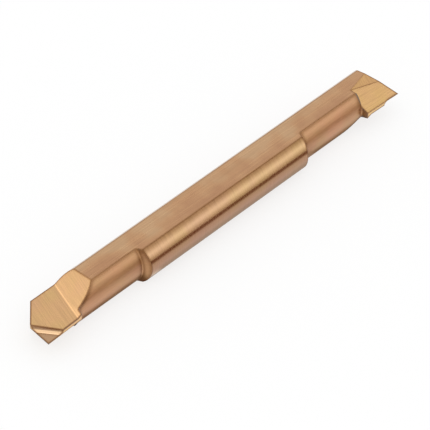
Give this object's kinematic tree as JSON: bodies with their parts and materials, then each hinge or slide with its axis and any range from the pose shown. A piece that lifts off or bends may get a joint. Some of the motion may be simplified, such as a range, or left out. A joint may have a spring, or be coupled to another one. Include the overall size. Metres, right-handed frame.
{
  "type": "double-ended boring bar",
  "caption": "Slender round boring bar with two clamping flats, an offset relieved neck towards each end and a ground cutting head with chip breaker at both tips.",
  "frame": {"origin": "on the bar's axis, halfway between the two cutting tips", "axes": "+X along the bar, from the end whose rake face looks up to the end whose rake face looks down; +Z out of the upper clamping flat; the cutting corners stand on the -Y side"},
  "size_m": [0.06, 0.006, 0.005],
  "materials": {
    "coated_carbide": "fine-ground cemented carbide under a bronze-gold hard coat, satin"
  },
  "bodies": {
    "root": {"boring_bar": "coated_carbide"}
  },
  "joints": []
}
